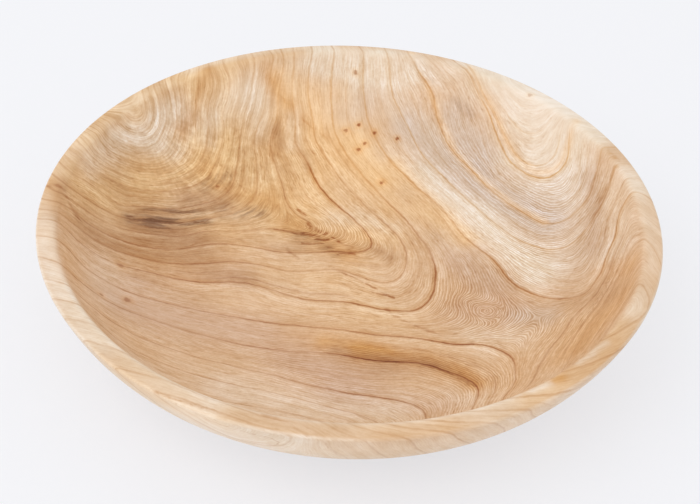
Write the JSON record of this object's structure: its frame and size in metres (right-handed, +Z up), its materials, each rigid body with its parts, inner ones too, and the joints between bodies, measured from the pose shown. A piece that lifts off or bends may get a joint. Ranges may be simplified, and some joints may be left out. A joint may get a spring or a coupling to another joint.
{
  "type": "wooden bowl",
  "caption": "Broad shallow turned wooden bowl with a flat sloping rim, rounded walls, a wide floor and a low standing foot ring.",
  "frame": {"origin": "centre of the foot, on the surface the bowl stands on", "axes": "+Z up along the turning axis, out of the hollow"},
  "size_m": [0.3086, 0.3086, 0.0616],
  "materials": {
    "wood": "oiled satin, strongly figured pale timber with brown growth lines"
  },
  "bodies": {
    "root": {"bowl": "wood"}
  },
  "joints": []
}
